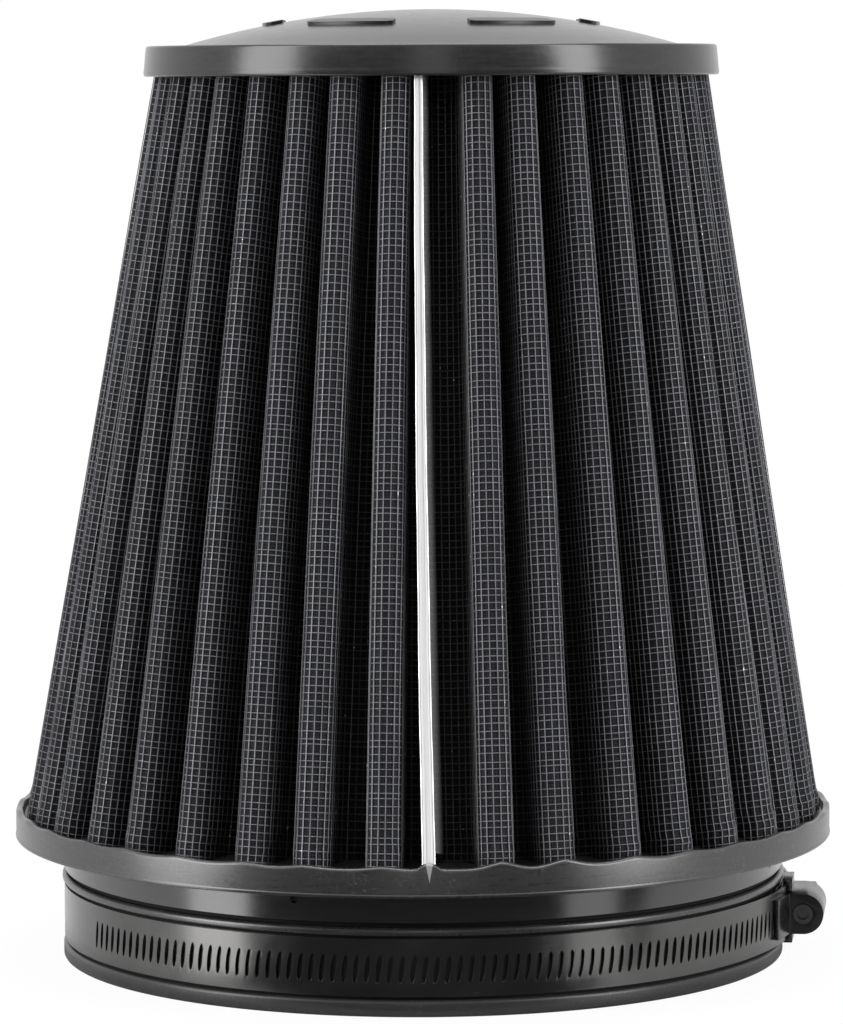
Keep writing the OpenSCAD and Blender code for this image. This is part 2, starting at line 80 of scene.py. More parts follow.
class Graph:
    def __init__(self, name, world=None):
        owner = world or bpy.data.materials.new(name)
        owner.use_nodes = True
        self.owner, self.tree = owner, owner.node_tree
        self.tree.nodes.clear()

    def node(self, kind, settings=None, inputs=(), output=0):
        made = self.tree.nodes.new(kind)
        for key, value in (settings or {}).items():
            if key == "stops":
                for place, (at, colour) in enumerate(value):
                    stops = made.color_ramp.elements
                    stop = stops[place] if place < 2 else stops.new(at)
                    stop.position, stop.color = at, (*colour, 1)
            else:
                setattr(made, key, value)
        pairs = inputs.items() if isinstance(inputs, dict) else enumerate(inputs)
        for key, value in pairs:
            if isinstance(value, Sock):
                self.tree.links.new(value.socket, made.inputs[key])
            elif isinstance(value, tuple) and len(value) == 3 and made.inputs[key].type == "RGBA":
                made.inputs[key].default_value = (*value, 1)
            else:
                made.inputs[key].default_value = value
        return Sock(self, made.outputs[output])

    def split(self, at):  # the three values of a vector
        made = self.tree.nodes.new("ShaderNodeSeparateXYZ")
        self.tree.links.new(at.socket, made.inputs[0])
        return [Sock(self, out) for out in made.outputs]

    def place(self):  # the piece's own place, in millimetres: x, y, z, angle and radius
        x, y, z = (part * 1000 for part in self.split(self.node("ShaderNodeTexCoord", output="Object")))
        return x, y, z, y.math("ARCTAN2", x), (x * x + y * y).math("SQRT")

    def path(self):  # how far along and how high on a folded sheet, from its UV map
        return self.split(self.node("ShaderNodeUVMap", {"uv_map": "path"}))[:2]

    def valleyShade(self):  # 0 on the folds' tips to 1 in the valleys of the pack, for painted shade in the valleys
        x, y, z, *_ = self.place()
        x = x - (z - pack["bottom"]) * (pack["shift"] / (pack["top"] - pack["bottom"]))
        tip = (pack["tipBase"] + pack["floor"] * pack["slope"]) - z * pack["slope"]
        return self.span(tip - (x * x + y * y).math("SQRT"), 2, 9)

    def ray(self, kind):  # 1 for rays of this kind, such as Camera
        return self.node("ShaderNodeLightPath", output=f"Is {kind} Ray")

    def join(self, x, y, z):
        return self.node("ShaderNodeCombineXYZ", inputs=[x, y, z])

    def noise(self, at, scale, detail=3, rough=0.5):
        values = {"Vector": at, "Scale": scale, "Detail": detail, "Roughness": rough}
        return self.node("ShaderNodeTexNoise", inputs=values)

    def ramp(self, fac, *stops):
        return self.node("ShaderNodeValToRGB", {"stops": stops}, [fac])

    def mix(self, fac, a, b):
        made = self.tree.nodes.new("ShaderNodeMix")
        made.data_type = "RGBA"
        for key, value in ((0, fac), (6, a), (7, b)):
            if isinstance(value, Sock):
                self.tree.links.new(value.socket, made.inputs[key])
            else:
                made.inputs[key].default_value = value if key == 0 else (*value, 1)
        return Sock(self, made.outputs[2])

    def span(self, value, low, high, a=0, b=1):
        return self.node("ShaderNodeMapRange", {"clamp": True}, [value, low, high, a, b])

    def bump(self, height, distance, strength):
        values = {"Height": height, "Distance": distance, "Strength": strength}
        return self.node("ShaderNodeBump", inputs=values)

    def shader(self, **inputs):
        named = {key.replace("_", " "): value for key, value in inputs.items()}
        return self.node("ShaderNodeBsdfPrincipled", inputs=named)

    def end(self, surface):
        isWorld = isinstance(self.owner, bpy.types.World)
        out = self.tree.nodes.new("ShaderNodeOutputWorld" if isWorld else "ShaderNodeOutputMaterial")
        self.tree.links.new(surface.socket, out.inputs[0])
        return self.owner


# modelling helpers
def deselect():
    if bpy.context.object and bpy.context.object.mode != "OBJECT":
        bpy.ops.object.mode_set(mode="OBJECT")
    bpy.ops.object.select_all(action="DESELECT")


def only(piece):
    deselect()
    piece.select_set(True)
    bpy.context.view_layer.objects.active = piece


def applyAll(piece):
    only(piece)
    for modifier in list(piece.modifiers):
        bpy.ops.object.modifier_apply(modifier=modifier.name)


def fromPoints(name, points, faces):
    mesh = bpy.data.meshes.new(name)
    mesh.from_pydata([tuple(c * mm for c in p) for p in points], [], faces)
    mesh.update()
    piece = bpy.data.objects.new(name, mesh)
    scene.collection.objects.link(piece)
    return piece


def outward(piece):  # doubles are merged first, which closes the poles
    only(piece)
    bpy.ops.object.mode_set(mode="EDIT")
    bpy.ops.mesh.select_all(action="SELECT")
    bpy.ops.mesh.remove_doubles(threshold=1e-6)
    bpy.ops.mesh.normals_make_consistent(inside=False)
    bpy.ops.object.mode_set(mode="OBJECT")


def finishPiece(piece, material, smooth):
    only(piece)
    bpy.ops.object.transform_apply(location=True, rotation=True, scale=True)
    bpy.ops.object.shade_smooth_by_angle(angle=math.radians(smooth))
    piece.data.materials.clear()
    piece.data.materials.append(material)
    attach(piece, "filter")
    return piece


def rounded(corners, steps=4):  # (radius, height, rounding) corners to a smooth profile
    profile = []
    for k, (r, z, e) in enumerate(corners):
        here = Vector((r, z))
        if not e:
            profile.append(here)
            continue
        before = (Vector(corners[k - 1][:2]) - here).normalized()
        after = (Vector(corners[(k + 1) % len(corners)][:2]) - here).normalized()
        half = before.angle(after) / 2
        back = e / math.tan(half)
        start, stop = here + before * back, here + after * back
        middle = here + (before + after).normalized() * (e / math.sin(half))
        for j in range(steps + 1):
            spoke = (start - middle).lerp(stop - middle, j / steps)
            profile.append(middle + spoke.normalized() * e)
    return profile


def turned(name, profile, sides):  # a ring is extruded and scaled along the profile, as on a lathe
    pole = 0.001  # the least radius, in mm
    deselect()
    r0, z0 = profile[0]
    last = max(r0, pole)
    bpy.ops.mesh.primitive_circle_add(vertices=sides, radius=last * mm, location=(0, 0, z0 * mm))
    piece = bpy.context.object
    piece.name = piece.data.name = name
    bpy.ops.object.transform_apply(location=True)
    bpy.ops.object.mode_set(mode="EDIT")
    for (r, z), (_, before) in zip(profile[1:], profile):
        r = max(r, pole)
        bpy.ops.mesh.extrude_edges_move(TRANSFORM_OT_translate={"value": (0, 0, (z - before) * mm)})
        bpy.ops.transform.resize(value=(r / last, r / last, 1), center_override=(0, 0, z * mm))
        last = r
    bpy.ops.object.mode_set(mode="OBJECT")
    return piece


# the pleated pack: the frame's sizes, in millimetres and degrees
pack = {
    "pleats": 38, "depth": 13, "widthBase": 8, "widthCap": 6.5, "stray": 0.45, "strayStep": 137.5,
    "seam": 0.8, "seamLeft": 6.6, "seamRight": 9.2, "seamLean": -2, "seamTaper": 0.6,
    "lean": 1.6, "twist": -1.5, "shift": 2.7, "floor": 31.5, "bottom": 31.55, "top": 207.45,
    "tipBase": 93.1, "slope": 0.167826, "sheet": 2.5,  # tips at the floor, their slope, all layers
    "gauze": (0.43, 2.08), "inner": (2.16, 2.48),  # depths of each layer's two faces
    "clipBase": 3, "clipCap": 1.9, "clipSheet": 0.45,
    "bulge": 0.35, "bulgeAt": 36.6, "bulgeTall": 1.3, "sheetSteps": (12, 7),
    "levels": [31.55, 35.2, 36.6, 38, 40, 74, 108, 142, 176, 207.45],
}


def share(z):
    return (z - pack["bottom"]) / (pack["top"] - pack["bottom"])


def tipRadius(z):
    return pack["tipBase"] - (z - pack["floor"]) * pack["slope"]


def isSeam(i):
    return i % pack["pleats"] == 0


def pleatAngle(i, u):
    start = pack["seam"] + u * pack["twist"]
    if isSeam(i):
        return start + u * pack["seamLean"] + 360 * (i > 0)
    even = pack["seamRight"] + (i - 1) * (360 - pack["seamLeft"] - pack["seamRight"]) / (pack["pleats"] - 2)
    stray = pack["stray"] * math.sin(math.radians(i * pack["strayStep"]))
    return start + even + stray + u * pack["lean"] * math.sin(math.radians(2 * even))


def halfWidth(i, u):
    if isSeam(i):
        return (pack["clipBase"] + (pack["clipCap"] - pack["clipBase"]) * u) / 2 - pack["clipSheet"]
    return (pack["widthBase"] + (pack["widthCap"] - pack["widthBase"]) * u) / 2


def layer(i, u, depth):  # the layers get thinner where the clip pinches them
    return halfWidth(i, u) * pack["seamTaper"] * depth / pack["sheet"] if isSeam(i) else depth


def turn(angle, along, across, z):
    a, shift = math.radians(angle), pack["shift"] * share(z)
    return (shift + along * math.sin(a) + across * math.cos(a), across * math.sin(a) - along * math.cos(a), z)


def bulge(i, z):  # the folds swell a little over the rim's edge, each by its own amount
    if isSeam(i):
        return -pack["clipSheet"]
    own = 0.65 + 0.35 * math.sin(i * 2.3)
    return pack["bulge"] * own * math.exp(-((z - pack["bulgeAt"]) / pack["bulgeTall"]) ** 2)


def foldPoint(i, z, depth, t):  # t runs -90 to 90 round the fold
    u = share(z)
    half, tip = halfWidth(i, u), tipRadius(z) + bulge(i, z)
    r, a = half - layer(i, u, depth), math.radians(t)
    return turn(pleatAngle(i, u), tip - half + r * math.cos(a), r * math.sin(a), z)


def valleyPoint(i, z, depth, t):  # t runs -90 to 90 round the valley after the fold
    u, floor = share(z), tipRadius(z) - pack["depth"]
    gap = math.radians(pleatAngle(i + 1, u) - pleatAngle(i, u))
    half = (floor * gap - halfWidth(i, u) - halfWidth(i + 1, u)) / (2 - gap)
    middle = pleatAngle(i, u) + math.degrees((halfWidth(i, u) + half) / (floor + half))
    s, a = (t + 90) / 180, math.radians(t)
    r = half + layer(i, u, depth) * (1 - s) + layer(i + 1, u, depth) * s
    return turn(middle, floor + half - r * math.cos(a), r * math.sin(a), z)


def pleatLine(i, z, depth, folds=16, valleys=8):  # one fold and one valley, to the next fold's start
    line = [foldPoint(i, z, depth, -90 + 180 * k / folds) for k in range(folds + 1)]
    line += [valleyPoint(i, z, depth, -90 + 180 * k / valleys) for k in range(valleys + 1)]
    line.append(foldPoint(i + 1, z, depth, -90))
    return [Vector(p) for p in line]


def spaced(line, count):  # count points at even distances along a line, without its end
    lengths = [0]
    for a, b in zip(line, line[1:]):
        lengths.append(lengths[-1] + (b - a).length)
    found, k = [], 0
    for n in range(count):
        want = lengths[-1] * n / count
        while lengths[k + 1] < want:
            k += 1
        step = (want - lengths[k]) / max(lengths[k + 1] - lengths[k], 1e-9)
        found.append(line[k].lerp(line[k + 1], step))
    return found, lengths[-1]


def pleatedSheet(name, outer, inner):
    # a closed pleated wall between two depths, with its path length and height as its UV map
    levels, rows = pack["levels"], len(pack["levels"]) - 1
    rings = [[p for i in range(pack["pleats"]) for p in pleatLine(i, z, depth, *pack["sheetSteps"])[:-1]]
             for depth in (outer, inner) for z in levels]
    across, faces = len(rings[0]), []

    def at(side, row, k):
        return (side * len(levels) + row) * across + k % across
    for k in range(across):
        for row in range(rows):
            faces.append((at(0, row, k), at(0, row, k + 1), at(0, row + 1, k + 1), at(0, row + 1, k)))
            faces.append((at(1, row, k), at(1, row + 1, k), at(1, row + 1, k + 1), at(1, row, k + 1)))
        faces.append((at(0, 0, k), at(1, 0, k), at(1, 0, k + 1), at(0, 0, k + 1)))
        faces.append((at(0, rows, k), at(0, rows, k + 1), at(1, rows, k + 1), at(1, rows, k)))
    piece = fromPoints(name, [p for ring in rings for p in ring], faces)
    run, middle = [0], rings[rows // 2]  # path length, taken at the middle height
    for k in range(across):
        run.append(run[-1] + (middle[(k + 1) % across] - middle[k]).length)
    uv = piece.data.uv_layers.new(name="path")
    for face in piece.data.polygons:
        columns = [piece.data.loops[n].vertex_index % across for n in face.loop_indices]
        wraps = max(columns) - min(columns) > 1
        for n, column in zip(face.loop_indices, columns):
            height = piece.data.vertices[piece.data.loops[n].vertex_index].co.z / mm
            uv.data[n].uv = (run[-1] if wraps and column == 0 else run[column], height)
    return piece


# the outer screen's wires; along and round are the depths at which they run
wires = {
    "pitch": 1.6, "thick": 0.26, "along": 0.11, "round": 0.24, "ends": 0.6, "drift": 0.12,
    "countAt": (120, 0.1), "first": 34.4, "last": 206.4, "lowerCount": 53, "swing": (0.14, 0.1),
}


def wiresAlong(name):  # straight wires down the folds, from the cap to the base
    size, rows = wires["thick"] / 2, len(pack["levels"]) - 1
    points, faces = [], []
    for i in range(pack["pleats"]):
        _, length = spaced(pleatLine(i, *wires["countAt"]), 2)
        count = round(length / wires["pitch"])
        lines = []
        for z in pack["levels"]:
            z = min(max(z, pack["bottom"] + wires["ends"]), pack["top"] - wires["ends"])
            lines.append([spaced(pleatLine(i, z, depth), count)[0] for depth in (wires["along"], 0.5)])
        for n in range(count):
            start = len(points)
            for row, (near, far) in enumerate(lines):
                out = (near[n] - far[n]).normalized()
                side = Vector((-out.y, out.x, 0)).normalized()
                drift = side * rand.uniform(-wires["drift"], wires["drift"]) * (0 < row < rows)
                for a, b in ((1, 0), (0, 1), (-1, 0), (0, -1)):
                    points.append(near[n] + drift + out * size * a + side * size * b)
            for row in range(rows):
                for k in range(4):
                    a, b = start + row * 4 + k, start + row * 4 + (k + 1) % 4
                    faces.append((a, b, b + 4, a + 4))
            faces.append((start + 3, start + 2, start + 1, start))
            top = start + rows * 4
            faces.append((top, top + 1, top + 2, top + 3))
    return fromPoints(name, points, faces)


def wiresRound(name, first, last):  # wires that follow every fold and valley once round the pack
    size = wires["thick"] / 2
    spots = [(foldPoint, -90 + 22.5 * k) for k in range(9)] + [(valleyPoint, -90 + 45 * k) for k in range(5)]
    wide, short = wires["swing"]
    points, faces, level = [], [], first
    while level < last:
        z = level + rand.uniform(-wires["drift"], wires["drift"])
        phase = rand.uniform(0, 6.3)
        start = len(points)
        for i in range(pack["pleats"]):
            wave = wide * math.sin(i * 1.7 + phase) + short * math.sin(i * 0.53 + 2 * phase)
            for maker, t in spots:
                flat = Vector(maker(i, z, 0.2, t))
                flat.x -= pack["shift"] * share(z)
                height = z + wave - (tipRadius(z) - flat.xy.length) * pack["slope"]
                here = Vector(maker(i, height, wires["round"], t))
                out = (here - Vector(maker(i, height, 0.6, t))).normalized()
                points.append(here + out * size)  # three sides, with one edge outwards
                points.append(here - out * size * 0.5 + Vector((0, 0, size * 0.87)))
                points.append(here - out * size * 0.5 - Vector((0, 0, size * 0.87)))
        ring = (len(points) - start) // 3
        for k in range(ring):
            for s in range(3):
                a, b = start + k * 3 + s, start + k * 3 + (s + 1) % 3
                c, d = start + (k + 1) % ring * 3 + (s + 1) % 3, start + (k + 1) % ring * 3 + s
                faces.append((a, d, c, b))
        level += wires["pitch"]
    return fromPoints(name, points, faces)


# finishes
seamTail = {"foot": 31.2, "widen": 0.19, "middle": 1.5, "lean": 0.004, "soft": 0.12, "tone": 0.3}


def mouldedUrethane(name, tone, rough, mottle, shine, tail=False):
    # satin black moulding with faint flow marks and light specks
    g = Graph(name)
    x, y, z, angle, radius = g.place()
    at = g.join(x, y, z)
    flow = g.noise(g.join(angle * 9, z * 0.9, radius * 0.12), 1.4, 2)
    grain = g.noise(at, 1.1, 3, 0.6)
    specks = g.span(g.noise(at, 1.7, 3, 0.7), 0.55, 0.68) * g.span(g.noise(at, 0.14, 2), 0.42, 0.6, 0.2, 1)
    dark, light = (tone * 0.78,) * 3, (tone * 1.25, tone * 1.25, tone * 1.3)
    body = g.ramp(flow * 0.55 + grain * 0.45, (0.3, dark), (0.72, light))
    colour = g.mix(specks * mottle, body, (0.14, 0.14, 0.145))
    if tail:  # the seam's light end, drawn out down the rim's face
        width = (z - seamTail["foot"]) * seamTail["widen"]
        away = (x - seamTail["middle"] + z * seamTail["lean"]).math("ABSOLUTE")
        shows = g.span(width - away, 0, seamTail["soft"]) * g.span(y, -90, -93)
        colour = g.mix(shows, colour, (seamTail["tone"],) * 3)
    roughness = g.span(flow * 0.6 + grain * 0.4, 0.3, 0.7, rough - 0.02, rough + 0.03)
    normal = g.bump(grain * 0.6 + flow * 0.5, 0.00004, 0.4)
    return g.end(g.shader(Base_Color=colour, Roughness=roughness, Normal=normal,
                          Specular_IOR_Level=shine))


def coatedWire():  # grey epoxy on fine wire, with bare bright flecks
    g = Graph("coatedWire")
    x, y, z, *_ = g.place()
    at = g.join(x, y, z)
    tone = g.noise(at, 0.12, 2) * 0.5 + g.noise(at, 2.2, 2) * 0.5
    coat = g.ramp(tone, (0.3, (0.14, 0.142, 0.153)), (0.7, (0.25, 0.253, 0.272)))
    # painted shade: the wires darken to near black towards the valleys
    coat = g.mix(g.valleyShade() * 0.8, coat, (0.012, 0.012, 0.013))
    bare = g.span(g.noise(at, 1.3, 1), 0.735, 0.77)
    colour = g.mix(bare, coat, (0.62, 0.62, 0.64))
    roughness = g.span(tone, 0.3, 0.7, 0.34, 0.5)
    return g.end(g.shader(Base_Color=colour, Metallic=bare * 0.7, Roughness=roughness))


def oiledGauze():  # black cotton gauze: a weave on the sheet's own path and height
    g = Graph("oiledGauze")
    u, v = g.path()
    fluff = g.noise(g.join(u, v, 0), 1.7, 4, 0.7)
    weave = (u * 9.5).math("SINE") + (v * 9.5).math("SINE")
    shade = weave * 0.12 + fluff * 0.8
    cotton = g.ramp(shade, (0.2, (0.01, 0.01, 0.013)), (0.8, (0.038, 0.038, 0.045)))
    # painted shade: the gauze darkens towards the valleys
    colour = g.mix(g.valleyShade(), cotton, (0.003, 0.003, 0.004))
    return g.end(g.shader(Base_Color=colour, Roughness=0.9, Normal=g.bump(shade, 0.0002, 0.7),
                          Specular_IOR_Level=0.25))


def innerMesh():  # the same wire screen seen from the bore, drawn on the sheet's path and height
    g = Graph("innerScreen")
    u, v = g.path()
    steps = ((at / wires["pitch"]).math("FRACT") - 0.5 for at in (u, v))
    across, up = (g.span(step.math("ABSOLUTE"), 0.37, 0.42) for step in steps)
    drawn = across.math("MAXIMUM", up)
    tone = g.noise(g.join(u, v, 0), 0.9, 3)
    coat = g.ramp(tone, (0.3, (0.12, 0.122, 0.13)), (0.7, (0.22, 0.223, 0.235)))
    colour = g.mix(drawn, (0.012, 0.012, 0.015), coat)
    return g.end(g.shader(Base_Color=colour, Roughness=g.span(drawn, 0, 1, 0.85, 0.42),
                          Normal=g.bump(drawn, 0.00025, 0.9)))


def brushedSteel(name, low, high, rough):  # drawn band steel: fine lines along its length
    g = Graph(name)
    x, y, z, angle, radius = g.place()
    lines = g.noise(g.join(angle * 3, z * 9, radius * 2), 1.0, 5, 0.65)
    cloud = g.noise(g.join(x, y, z), 0.09, 3)
    colour = g.ramp(lines * 0.45 + cloud * 0.55, (0.3, low), (0.7, high))
    roughness = g.span(lines * 0.4 + cloud * 0.6, 0.3, 0.7, rough - 0.06, rough + 0.08)
    return g.end(g.shader(Base_Color=colour, Metallic=0.92, Roughness=roughness,
                          Normal=g.bump(lines, 0.000012, 0.3)))


def foldedAluminium():  # bright on the crown, dull down its flanks, with painted shade darkening the flanks and the crease
    g = Graph("foldedAluminium")
    x, y, z, *_ = g.place()
    fold, _ = g.path()
    away = fold.math("ABSOLUTE")
    lines = g.noise(g.join(x * 5, y * 1.2, z * 0.1), 1.1, 4, 0.6)
    dents = g.noise(g.join(x * 0.4, y * 0.4, z), 0.09, 2)
    bright = g.ramp(lines * 0.5 + dents * 0.5, (0.3, (0.9, 0.902, 0.905)), (0.7, (0.98, 0.98, 0.98)))
    # painted shade: the flanks darken to near black as they go down between the folds
    flankShade = g.span(away, 6.6, 10).math("POWER", 0.5)
    # painted shade: a slightly darker line along the crease
    crown = g.mix(g.span(away, 0.2, 1.1), (0.8, 0.8, 0.81), bright)
    colour = g.mix(flankShade, crown, (0.025, 0.025, 0.026))
    roughness = g.span(lines, 0.3, 0.7, 0.16, 0.22)
    return g.end(g.shader(Base_Color=colour, Metallic=0.6 - flankShade * 0.2, Roughness=roughness,
                          Normal=g.bump(dents * 0.9 + lines * 0.1, 0.00006, 0.4)))


capFinish = mouldedUrethane("capUrethane", 0.024, 0.21, 0.08, 0.45)
barFinish = mouldedUrethane("barUrethane", 0.012, 0.3, 0.1, 0.3)
baseFinish = mouldedUrethane("baseUrethane", 0.028, 0.28, 0.5, 0.75, tail=True)
neckFinish = mouldedUrethane("neckUrethane", 0.016, 0.2, 0.05, 1.0)
lipFinish = mouldedUrethane("lipUrethane", 0.032, 0.34, 0.3, 0.4)
# painted shade: a near-black rough finish for the grooves and the recess wall
grooveShadeFinish = mouldedUrethane("grooveShadeUrethane", 0.006, 0.6, 0, 0.1)
bandSteel = brushedSteel("bandSteel", (0.09, 0.089, 0.088), (0.125, 0.124, 0.122), 0.22)
housingSteel = brushedSteel("housingSteel", (0.06, 0.06, 0.06), (0.1, 0.1, 0.1), 0.26)
# painted shade: a darker copy of the housing steel for its end walls
housingShade = brushedSteel("housingShade", (0.015, 0.015, 0.015), (0.03, 0.03, 0.03), 0.35)
screwSteel = brushedSteel("screwSteel", (0.03, 0.03, 0.03), (0.06, 0.06, 0.059), 0.28)
print("finishes made")

# the pack
wireFinish = coatedWire()
split = wires["first"] + wires["pitch"] * wires["lowerCount"]
outerWires = [wiresAlong("wiresAlong"),
              wiresRound("wiresRoundLower", wires["first"], split - wires["pitch"] / 2),
              wiresRound("wiresRoundUpper", split, wires["last"])]
for piece, smooth in zip(outerWires, (60, 130, 130)):
    finishPiece(piece, wireFinish, smooth)
    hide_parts("outer_screen")
gauze = finishPiece(pleatedSheet("gauzeSheet", *pack["gauze"]), oiledGauze(), smooth=50)
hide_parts("gauze_pack")
inner = finishPiece(pleatedSheet("innerScreenSheet", *pack["inner"]), innerMesh(), smooth=50)
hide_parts("inner_screen")
print("pack made", [len(piece.data.polygons) for piece in outerWires])

# the cap: rim, ledge and dome in one moulding
cap = {
    "bottom": 204, "floor": 206, "top": 211, "rim": 66.5, "draft": 0.6, "lip": 64.5, "tray": 47.7,
    "edge": 0.6, "stepUp": 1.2, "stepIn": 0.1, "stepTall": 0.6, "dome": 57.5, "domeTop": 219.3,
    "ringGap": 4.2, "sides": 256, "bars": 6, "barRing": 37, "barWidth": 4, "barRise": 0.7,
    "barAngle": 34, "barSunk": 0.6, "barEdge": 0.45,
}


def domeHeight(r):
    rise = cap["domeTop"] - cap["top"]
    ball = (cap["dome"] ** 2 + rise ** 2) / (2 * rise)
    return cap["domeTop"] - ball + math.sqrt(ball ** 2 - r ** 2)


wall, step = cap["rim"] - 0.03, cap["bottom"] + cap["stepUp"]
corners = [
    (0, cap["bottom"], 0), (cap["tray"], cap["bottom"], 0.3), (cap["tray"], cap["floor"], 0),
    (cap["lip"], cap["floor"], 0), (cap["lip"], cap["bottom"], 0.3), (cap["rim"], cap["bottom"], cap["edge"]),
    (wall, step, 0.3), (wall - cap["stepIn"], step + cap["stepTall"], 0.4),
    (cap["rim"] - cap["draft"], cap["top"], cap["edge"]), (cap["dome"], cap["top"], 0.5),
    (cap["dome"] - 4, domeHeight(cap["dome"] - 4), 0),
]
domeRings = [cap["dome"] - cap["ringGap"] * k for k in range(2, 14)] + [0]
profile = rounded(corners) + [Vector((r, domeHeight(r))) for r in domeRings]
capPiece = turned("capMoulding", profile, cap["sides"])
outward(capPiece)
capPiece.location.x = pack["shift"] * mm
finishPiece(capPiece, capFinish, smooth=28)
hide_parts("top_cap")


def domeBar(k):  # one raised bar: a block bent round the ring and laid on the dome
    deselect()
    bpy.ops.mesh.primitive_cube_add(size=1, location=(0, 0, 0))
    bar = bpy.context.object
    bar.name = bar.data.name = f"domeBar{k + 1}"
    bpy.ops.object.mode_set(mode="EDIT")
    bpy.ops.mesh.select_all(action="DESELECT")
    bpy.ops.object.mode_set(mode="OBJECT")
    for edge in bar.data.edges:
        a, b = (bar.data.vertices[v].co for v in edge.vertices)
        edge.select = abs(a.x - b.x) > 0.5
    bpy.ops.object.mode_set(mode="EDIT")
    bpy.ops.mesh.subdivide(number_cuts=15)
    bpy.ops.object.mode_set(mode="OBJECT")
    centre = 90 + (k + 0.5) * 360 / cap["bars"]
    for v in bar.data.vertices:
        end = max(0, abs(v.co.x) - 0.44) / 0.06  # the bar narrows over its last bit
        r = cap["barRing"] + v.co.y * cap["barWidth"] * (1 - 0.35 * end * end)
        a = math.radians(centre + v.co.x * cap["barAngle"])
        z = domeHeight(r) + (cap["barRise"] if v.co.z > 0 else -cap["barSunk"])
        v.co = Vector((r * math.cos(a) + pack["shift"], r * math.sin(a), z)) * mm
    bevel = bar.modifiers.new("edges", "BEVEL")
    bevel.width, bevel.segments, bevel.angle_limit = cap["barEdge"] * mm, 3, math.radians(50)
    applyAll(bar)
    finishPiece(bar, barFinish, smooth=45)


for k in range(cap["bars"]):
    domeBar(k)
print("cap made")

# the base: neck, clamp recess, bead and the rim with its wavy edge
base = {
    "bore": 76.2, "lip": 84.3, "lipTop": 3.7, "recess": 83.3, "recessTop": 17.9, "shade": 0.7,
    "bead": 84.5, "beadHeight": 1.8, "groove": 1, "grooveTall": 1, "neck": 84, "neckTop": 28,
    "rim": 95.25, "rimTop": 35.8, "edge": 0.9, "ridge": 0.13, "ridgeTall": 0.65,
    "lipInner": 93.45, "fill": 33.7, "inner": 77.3, "innerTop": 34, "sides": 456,
    # the rim's scallops: its edge dips, but rises at each fold, and more so just right of the seam
    "dip": 1.4, "waveFoot": 32, "waveInner": 92.5, "peak": 4.7, "rise": 0.45, "riseMore": 1.0,
    "riseAt": 14, "riseSpread": 13, "seamPeak": 1.9, "seamRise": 1.35,
    "marks": [(71, 23.8, 1.6, 0.8), (-19.6, 25.3, 1.8, 0.9)],  # angle, height, diameter, depth
}
b = base
beadTop = b["recessTop"] + b["beadHeight"]
corners = [
    (b["bore"], b["innerTop"], 0.3), (b["bore"], 0, 0.5), (b["lip"], 0, 0.6), (b["lip"], b["lipTop"], 0.9),
    (b["recess"], b["lipTop"], 0), (b["recess"], b["lipTop"] + b["shade"], 0),
    (b["recess"], b["recessTop"] - b["shade"], 0), (b["recess"], b["recessTop"], 0),
    (b["bead"], b["recessTop"], 0.5), (b["bead"], beadTop, 0.9),
    (b["neck"] - b["groove"], beadTop, 0.1),
    (b["neck"] - b["groove"], beadTop + b["grooveTall"] - 0.05, 0.1),
    (b["neck"], beadTop + b["grooveTall"], 0.15), (b["neck"], b["neckTop"], 0.8),
    (b["rim"], b["neckTop"], 0.5), (b["rim"], b["neckTop"] + b["ridgeTall"], 0.1),
    (b["rim"] - b["ridge"], b["neckTop"] + b["ridgeTall"] + 0.25, 0.1),
    (b["rim"] - b["ridge"], b["rimTop"], b["edge"] * 0.8), (b["lipInner"], b["rimTop"], 0.5),
    (b["lipInner"] - 0.15, b["fill"], 0.3), (b["inner"], b["fill"], 0), (b["inner"], b["innerTop"], 0.3),
]
profile = rounded(corners)
profile.append(profile[0])
basePiece = turned("baseMoulding", profile, base["sides"])
tips = []
for i in range(pack["pleats"]):
    p = Vector(foldPoint(i, 35, 0, 0))
    tips.append((math.atan2(p.y, p.x), base["seamPeak"] if isSeam(i) else base["peak"]))


def scallop(a):  # how far the rim's edge dips at this angle
    near, wide = min((abs(math.degrees(math.remainder(a - tip, 2 * math.pi))) / wide, wide)
                     for tip, wide in tips)
    onSeam = wide == base["seamPeak"]
    wave = (0.5 - 0.5 * math.cos(math.pi * min(1, near))) ** (1.3 if onSeam else 0.65)
    away = (math.degrees(a) + 90 - base["riseAt"]) / base["riseSpread"]
    rise = base["seamRise"] if onSeam else base["rise"] + base["riseMore"] * math.exp(-away ** 2)
    return base["dip"] - rise * (1 - wave)


for v in basePiece.data.vertices:
    r, z = v.co.xy.length / mm, v.co.z / mm
    if r > base["waveInner"] and z > base["waveFoot"]:
        v.co.z -= scallop(math.atan2(v.co.y, v.co.x)) * mm * min(1, (z - base["waveFoot"]) / 2)
outward(basePiece)
for angle, height, wide, deep in base["marks"]:  # round moulding marks on the neck
    a, r = math.radians(angle), base["neck"] + 1 - deep / 2
    deselect()
    bpy.ops.mesh.primitive_cylinder_add(
        vertices=32, radius=wide / 2 * mm, depth=(2 + deep) * mm, rotation=(math.radians(90), 0, a),
        location=(r * math.sin(a) * mm, -r * math.cos(a) * mm, height * mm))
    drill = bpy.context.object
    cut = basePiece.modifiers.new("mark", "BOOLEAN")
    cut.object, cut.operation, cut.solver = drill, "DIFFERENCE", "EXACT"
    applyAll(basePiece)
    bpy.data.objects.remove(drill)
finishPiece(basePiece, baseFinish, smooth=32)
for finish in (neckFinish, lipFinish, grooveShadeFinish):
    basePiece.data.materials.append(finish)


